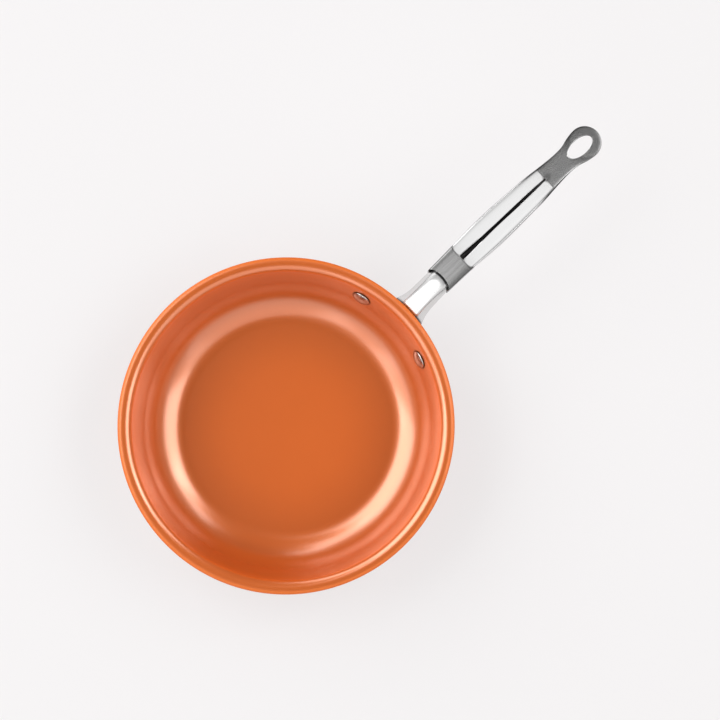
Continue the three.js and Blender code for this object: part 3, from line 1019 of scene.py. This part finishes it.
def copperCoat():
    # a satin coat with painted shade, darker towards the floor's edge and the wall's foot and lighter
    # again on the lip, and a painted shadow round the rivets' heads
    board = Board(bpy.data.materials.new("copperCoat"))
    place = board.objectPlace()
    x, y, z = board.axes(place)
    radius = (x * x + y * y) ** 0.5 / mm
    head = Vector((rivetRadius * cos(rivetAngle), rivetRadius * sin(rivetAngle), rivetHeight))
    fromHead = (x / mm - head.x) ** 2 + (abs(y) / mm - head.y) ** 2 + (z / mm - head.z) ** 2
    # painted shadow ring round each rivet's head, where the coat is also thinner
    seat = 1 - (fromHead ** 0.5).fade(headRadius, headRadius + coat["seatWidth"])
    # painted shade: the floor darker to its edge, the wall darker at its foot, the lip lighter again
    shade = radius.fade(*coat["floorEdge"]) * coat["floorShade"]
    shade = shade + radius.fade(*coat["wallFoot"]) * coat["wallShade"]
    shade = shade - radius.fade(*[creaseRadius + step for step in coat["creaseEdge"]]) * coat["creaseLift"]
    shade = shade + seat * coat["seatShade"]
    trimmed = radius.fade(*[crestRadius + step for step in coat["trimEdge"]])
    cloud = board.noise(place, coat["cloudScale"], 3)
    fleck = board.noise(place, coat["fleckScale"], 1)
    peel = board.noise(place, coat["peelScale"], 2)
    colour = board.mixed(cloud * 0.5 + fleck * 0.5, rgb(*coat["deep"]), rgb(*coat["light"]))
    colour = board.mixed(shade, colour, rgb(*coat["dark"]))
    board.surface(
        Base_Color=colour,
        Metallic=coat["metallic"] + fleck * 0.1,
        Roughness=coat["roughness"] + fleck * 0.06 + trimmed * coat["trimRoughness"],
        IOR=2.1,
        Specular_Tint=rgb(1, 0.62, 0.3),
        Coat_Weight=1 - seat * 0.5 - trimmed * 0.9,
        Coat_Roughness=0.23,
        Coat_IOR=1.9,
        Normal=board.bumped(peel, 0.02 * mm, 0.4),
    )
    return board.owner


neckLook = {
    "gapEdge": (-2.2, -1.3),  # painted shadow line, counted from the mouth's edge
    "gapSides": (5, 9.5),  # it fades out between these
    "endStart": 9,  # the bright middle starts to end this far from the mouth
    "endLength": 5,
    "middleHalf": 6.4,  # half width of the bright middle at the lip
    "taper": 0.08,  # lost on each side per millimetre towards the mouth
    "greyEdge": (0.65, 1.3),  # shares of that half width
    "crownEdge": (6.5, 7.6),
    "grey": 0.18,  # painted shade round the bright middle
    "leftEdge": (-2, 6),
    "leftGrey": 0.4,  # more painted shade on the left, where the reflection is brighter
    "notchStart": (-2.6, -1),  # painted shadow beside the neck, counted from the lip
    "notchEdge": (0.6, 2.4),
    "notchSides": (6, 7.5),
    "notchShadow": 0.85,
}


def neckShade(x, y):
    # painted shadow along the handle's mouth and beside the neck at the lip, painted shade round the
    # bright middle
    across = abs(y) / mm
    lean = (1 - (across / mouthHalf) ** 2).most(0) ** 0.5 * handle["mouthSetback"]
    ahead = x / mm - rimRadius - neckReach - lean
    fromLip = (x * x + y * y) ** 0.5 / mm - rimRadius
    # painted shadow along the handle's mouth
    gapShadow = ahead.fade(*neckLook["gapEdge"]) * (1 - across.fade(*neckLook["gapSides"]))
    end = ((ahead + neckLook["endStart"]) / neckLook["endLength"]).most(0)
    side = (across + fromLip * neckLook["taper"]) / neckLook["middleHalf"]
    # painted shade round the bright middle of the neck
    grey = (end ** 2 + side ** 2).fade(*neckLook["greyEdge"])
    grey = grey * (1 - across.fade(*neckLook["crownEdge"]))
    grey = grey * (neckLook["grey"] + (y / mm).fade(*neckLook["leftEdge"]) * neckLook["leftGrey"])
    # painted shadow beside the neck at the lip
    notchShadow = (1 - fromLip.fade(*neckLook["notchEdge"])) * across.fade(*neckLook["notchSides"])
    notchShadow = notchShadow * fromLip.fade(*neckLook["notchStart"])
    return gapShadow.most(grey).most(notchShadow * neckLook["notchShadow"])


polish = {
    "deepShare": 0.9,  # of the tint, where it is deepest
    "hazeScale": 150,
    "scratchRoughness": 0.05,
    "hazeRoughness": 0.04,
    "shade": (0.03, 0.03, 0.03),
    "shadeRoughness": 0.3,
}


def polishedSteel(name, tint, rough, stretch, shadeAt=None):
    # polished, with fine scratches one way and faint clouds of haze, and painted shade and shadow in its
    # colour where shadeAt is given
    board = Board(bpy.data.materials.new(name))
    place = board.objectPlace()
    scratch = board.noise(board.stretched(place, stretch), 1, 3)
    haze = board.noise(place, polish["hazeScale"], 2)
    deep = [polish["deepShare"] * part for part in tint]
    colour = board.mixed(scratch * 0.6 + haze * 0.4, rgb(*deep), rgb(*tint))
    roughness = rough + scratch * polish["scratchRoughness"] + haze * polish["hazeRoughness"]
    # painted shade and shadow from shadeAt, darker and duller
    if shadeAt:
        shade = shadeAt(*board.axes(place)[:2])
        colour = board.mixed(shade, colour, rgb(*polish["shade"]))
        roughness = roughness + shade * polish["shadeRoughness"]
    board.surface(
        Base_Color=colour,
        Metallic=1.0,
        Roughness=roughness,
        Normal=board.bumped(scratch, 0.006 * mm, 0.3),
    )
    return board.owner


turned = {
    "deep": (0.5, 0.503, 0.507),
    "light": (0.66, 0.664, 0.67),
    "ringScale": 2.2,
    "patchScale": 60,
    "roughness": 0.24,
}


def turnedSteel(name):
    # rings of a lathe tool, with the sheen of use in patches
    board = Board(bpy.data.materials.new(name))
    place = board.objectPlace()
    x, y = board.axes(place)[:2]
    radius = (x * x + y * y) ** 0.5 / mm
    outward = board.add("ShaderNodeCombineXYZ", {}, {0: radius * turned["ringScale"]})
    ring = board.noise(outward, 1, 3).fade(0.3, 0.7)
    patch = board.noise(place, turned["patchScale"], 3)
    colour = board.mixed(ring * 0.6 + patch * 0.4, rgb(*turned["deep"]), rgb(*turned["light"]))
    board.surface(
        Base_Color=colour,
        Metallic=1.0,
        Roughness=turned["roughness"] + ring * 0.1 + patch * 0.12,
        Normal=board.bumped(ring, 0.015 * mm, 0.5),
    )
    return board.owner


brush = {
    "grip": (0.76, 0.757, 0.757),
    # painted shade: the polished grip darker at its corners
    "gripCorner": (0.6, 0.597, 0.597),
    "lightest": (1, 0.995, 0.99),
    # painted shadow: the near black inside the groove
    "groove": (0.02, 0.019, 0.019),
    "farSide": (0.035, 0.035, 0.035),  # dull layer, painted shade on the edges near the tip
    "farEdge": (88, 104),
    "farShare": 0.95,
    "bright": 0.49,  # of the brushed ends, partly their finish and partly painted shade
    "backBright": 0.12,  # painted light added from the groove to the tip
    "streak": 0.1,
    "backStreak": 0.07,  # taken off the streaks there
    "streakScale": (0.014, 0.42, 0.42),
    "grain": 0.03,
    "grainScale": (0.12, 5, 5),
    "lobeMiddle": 6,  # of the two rounded ends of the grip's polish
    "frontLobe": 3.6,
    "backLobe": 2.4,
    "frontEdge": (-0.6, 1),
    "backEdge": (-0.8, 0.8),
    "dimpleLength": 6,  # painted shade in the hollow behind the groove
    "dimpleWidth": 3.4,
    "edgeDrop": (-0.3, -0.03),  # under the top of the handle
    "cornerDrop": (-2.2, -1),
    "rimWidth": 1.6,  # painted shade along the tip's outline
    "sideEdge": (0.5, 0.88),  # painted shade on the sides of the front, in shares of the mouth's half width
    "shades": (0.35, 0.6, 0.35, 0.85, 0.45),  # painted shade on the tip, its rim, the hollow, the corners and the sides
    "roughness": 0.12,
}


def brushedHandle(name, upper):
    # brushed at both ends and polished along the grip, with painted shade on the tip, its rim, the hollow
    # behind the groove, the sides of the front and the edges near the tip; the upper shell also has a
    # painted shadow in its groove and painted shade on its corners
    board = Board(bpy.data.materials.new(name))
    x, y, z = board.axes(board.objectPlace())
    distance = x / mm - mouthX
    across = abs(y) / mm
    top = crestHeight + handle["mouthRise"] + distance * frontSlope
    top = top + (distance - grooveStart).most(0) * (gripSlope - frontSlope)
    top = top + (distance - grooveEnd).most(0) * (tipSlope - gripSlope)
    level = z / mm - top
    unrolled = board.add("ShaderNodeCombineXYZ", {}, {0: distance, 1: y / mm, 2: level})
    streak = board.noise(board.stretched(unrolled, brush["streakScale"]), 1, 1).fade(0.3, 0.7)
    grain = board.noise(board.stretched(unrolled, brush["grainScale"]), 1, 2)

    # the brushed ends
    lobe = (across - brush["lobeMiddle"]) / brush["lobeMiddle"]
    lobe = lobe * lobe
    frontEdge = [grooveStart + step for step in brush["frontEdge"]]
    backEdge = [grooveEnd + step for step in brush["backEdge"]]
    front = 1 - (distance - lobe * brush["frontLobe"]).fade(*frontEdge)
    back = (distance + lobe * brush["backLobe"]).fade(*backEdge)
    brushed = front.most(back)

    # painted shadow in the groove and painted shade in the hollow behind it
    early = distance.fade(grooveStart, gripMiddle)
    late = distance.fade(grooveEnd - handle["grooveRampOut"], grooveEnd)
    slot = (handle["grooveMouth"] - early * (handle["grooveMouth"] - handle["grooveWidth"])) / 2
    slot = slot * (1 - 0.2 * late)
    inside = (1 - (across / slot).fade(0.7, 1.1)) * upper
    inside = inside * distance.fade(grooveStart - 0.5, grooveStart + 1)
    inside = inside * (1 - distance.fade(grooveEnd - 0.5, grooveEnd + 1))
    behind = (distance - grooveEnd - 1) / brush["dimpleLength"]
    dimple = 1 - (behind ** 2 + (across / brush["dimpleWidth"]) ** 2).fade(0.1, 1)

    # painted shade on the edges, the corners, the tip and the sides of the front
    edge = 1 - level.fade(*brush["edgeDrop"])
    corner = edge * level.fade(*brush["cornerDrop"]) * upper
    far = distance.fade(*brush["farEdge"]) * edge
    tip = distance.fade(waistAt, handle["length"])
    fromTip = ((distance - tipCentre) ** 2 + across ** 2) ** 0.5
    rim = fromTip.fade(handle["tipRadius"] - brush["rimWidth"], handle["tipRadius"])
    rim = rim * distance.fade(waistAt, tipCentre)
    side = (across / mouthHalf).fade(*brush["sideEdge"]) * front

    # the brushed ends' tone: partly their finish, partly painted shade, lighter towards the tip as painted
    # light
    bright = brush["bright"] + back * brush["backBright"]
    bright = bright + streak * (brush["streak"] - back * brush["backStreak"]) + grain * brush["grain"]
    # painted shade on the tip, its rim, the hollow, the corners and the sides
    for shade, mask in zip(brush["shades"], (tip, rim, dimple, corner, side)):
        bright = bright * (1 - shade * mask)
    brushedAndShaded = board.mixed(bright, rgb(0, 0, 0), rgb(*brush["lightest"]))
    polished = board.mixed(corner, rgb(*brush["grip"]), rgb(*brush["gripCorner"]))
    tone = board.mixed(brushed, polished, brushedAndShaded)
    # painted shadow in the groove
    colour = board.mixed(inside, tone, rgb(*brush["groove"]))
    # a dark dull layer as painted shade on the edges near the tip
    board.surface(
        (far * brush["farShare"], rgb(*brush["farSide"])),
        Base_Color=colour,
        Metallic=1.0,
        Roughness=brush["roughness"] + grain * 0.03 + brushed * 0.12 + inside * 0.3,
        Normal=board.bumped(grain, 0.003 * mm, 0.3),
    )
    return board.owner


# the scene

print("camera and light")
view = {
    "place": (5, -87, 1400),
    "focal": 1793.4,  # in pixels of a picture that is 720 wide
    "picture": 720,
    "sensor": 36,
    "panCentre": (285.9, 424.57),
    "handleTurn": 43.05,
}


def triad(first, second):
    one = first.normalized()
    two = one.cross(second).normalized()
    return Matrix((one, two, one.cross(two))).transposed()


def makeCamera():
    # turned so that the rim's centre and the handle's direction fall where the picture has them
    bpy.ops.object.camera_add(location=Vector(view["place"]) * mm)
    camera = bpy.context.object
    half = view["picture"] / 2
    centre = Vector((view["panCentre"][0] - half, half - view["panCentre"][1], -view["focal"]))
    turn = radians(view["handleTurn"])
    ahead = centre + Vector((cos(turn), sin(turn), 0))
    eye = Vector(view["place"])
    toPan = Vector((0, 0, crestHeight)) - eye
    toHandle = Vector((1, 0, crestHeight)) - eye
    seen = triad(centre, ahead)
    there = triad(toPan, toHandle)
    camera.rotation_mode = "QUATERNION"
    camera.rotation_quaternion = (there @ seen.transposed()).to_quaternion()
    camera.data.sensor_width = view["sensor"]
    camera.data.lens = view["focal"] * view["sensor"] / view["picture"]
    camera.data.clip_end = 50
    bpy.context.scene.camera = camera


# azimuth as seen in the picture and counted from its right edge, elevation, distance in metres,
# width, height and level; the last two also have a point to aim at, and one a spread
lamps = {
    "leftBox": (155, 37, 2.2, 1.95, 1.78, 3.7),
    "leftEdge": (197, 37, 2.2, 1.1, 1.6, 1.5),
    "leftLow": (117, 26, 2.2, 0.95, 0.7, 2.8),
    "leftTail": (102, 14, 2.2, 0.55, 0.5, 2.0),
    "topLeft": (135, 61, 2.2, 1.2, 0.5, 1.0),
    "rightBox": (8, 42, 2.2, 1.7, 1.35, 3.3),
    "rightEdge": (333, 35, 2.2, 1.1, 1.6, 0.6),
    "backRight": (34, 36, 2.2, 0.7, 1.1, 2.5),
    "backLow": (49, 27, 2.2, 0.4, 0.7, 2.4),
    "frontLeftFill": (226, 33, 1.8, 1.17, 1.24, 1.1),
    "frontFill": (283, 34, 1.8, 2.8, 1.6, 0.95),
    "frontCard": (223, 58, 1.2, 0.7, 0.3, 0.2, (170, 0, 75)),
    "overheadBox": (43.05, 84.7, 0.251, 0.4, 0.12, 0.148, (223, 16, 77), 70),
}
studio = {
    "level": 0.1,
    "backdrop": (0.88, 0.87, 0.87),  # seen past the floor's edge
}


def softbox(name, azimuth, elevation, distance, width, height, level, aim=(0, 0, 30), spread=180):
    turn = radians(azimuth - view["handleTurn"])
    lift = radians(elevation)
    direction = Vector((cos(turn) * cos(lift), sin(turn) * cos(lift), sin(lift)))
    bpy.ops.object.light_add(type="AREA", location=Vector(aim) * mm + direction * distance)
    lamp = bpy.context.object
    lamp.name = name
    lamp.data.shape = "RECTANGLE"
    lamp.data.size = width
    lamp.data.size_y = height
    lamp.data.energy = level * pi * width * height
    lamp.data.spread = radians(spread)
    lamp.rotation_mode = "QUATERNION"
    lamp.rotation_quaternion = direction.to_track_quat("Z", "Y")
    lamp.visible_camera = False


def makeLight():
    for name, values in lamps.items():
        softbox(name, *values)
    world = bpy.data.worlds.new("studio")
    bpy.context.scene.world = world
    board = Board(world)
    fill = board.add("ShaderNodeBackground", {}, {"Color": rgb(1, 1, 1), "Strength": studio["level"]})
    backdrop = board.add("ShaderNodeBackground", {}, {"Color": rgb(*studio["backdrop"]), "Strength": 1.0})
    seen = board.add("ShaderNodeLightPath", {}, {}, "Is Camera Ray")
    shader = board.add("ShaderNodeMixShader", {}, {0: seen, 1: fill, 2: backdrop})
    board.add("ShaderNodeOutputWorld", {}, {"Surface": shader})


floor = {
    "radius": 9,  # in metres
    "sides": 96,
    "drop": 0.2,  # under the pan
    "matt": (0.86, 0.85, 0.85),
    "glow": (0.85, 0.831, 0.835),
    "glowShare": 0.75,  # of what is seen, so that the shadow stays
}


def makeFloor():
    deselect()
    below = (0, 0, -floor["drop"] * mm)
    bpy.ops.mesh.primitive_circle_add(
        vertices=floor["sides"], radius=floor["radius"], fill_type="NGON", location=below
    )
    ground = started("floor")
    board = Board(bpy.data.materials.new("paleFloor"))
    matt = board.add("ShaderNodeBsdfDiffuse", {}, {"Color": rgb(*floor["matt"])})
    glow = board.add("ShaderNodeEmission", {}, {"Color": rgb(*floor["glow"]), "Strength": 1.0})
    path = board.add("ShaderNodeLightPath", {}, {}, "Is Camera Ray")
    outputs = path.socket.node.outputs
    seen = path + Wire(board, outputs["Is Glossy Ray"]) + Wire(board, outputs["Is Transmission Ray"])
    share = seen.calc("MINIMUM", seen, 1.0) * floor["glowShare"]
    shader = board.add("ShaderNodeMixShader", {}, {0: share, 1: matt, 2: glow})
    board.add("ShaderNodeOutputMaterial", {}, {"Surface": shader})
    ground.data.materials.append(board.owner)


makeCamera()
makeLight()
makeFloor()

print("pan body, disc and rivets")
copper = copperCoat()
topSteel = brushedHandle("topSteel", 1)
bottomSteel = brushedHandle("bottomSteel", 0)
bracketSteel = polishedSteel("bracketSteel", (0.79, 0.787, 0.785), 0.19, (80, 2600, 2600), neckShade)
# the rivets' warm, dark tint paints in the copper that their heads reflect
rivetSteel = polishedSteel("rivetSteel", (0.54, 0.44, 0.41), 0.16, (1800, 1800, 1800))
discSteel = turnedSteel("discSteel")
dress(makeBody(), copper, "copper_coat", "pan_body")
dress(makeDisc(), discSteel, "disc_steel", "induction_disc")
leftRivet, rightRivet = makeRivets()
dress(leftRivet, rivetSteel, "rivet_steel", "rivet_left")
dress(rightRivet, rivetSteel, "rivet_steel", "rivet_right")

print("handle shells")
dress(makeShell("handleTopShell", 1), topSteel, "handle_steel", "handle_top_shell")
dress(makeShell("handleBottomShell", -1), bottomSteel, "handle_steel", "handle_bottom_shell")

print("bracket")
dress(makeBracket(), bracketSteel, "bracket_steel", "handle_bracket")

bpy.context.scene.view_settings.view_transform = "Standard"
for piece in bpy.data.objects:
    if piece.type == "MESH" and not piece.name.startswith("floor"):
        print(piece.name, len(piece.data.polygons), "faces")
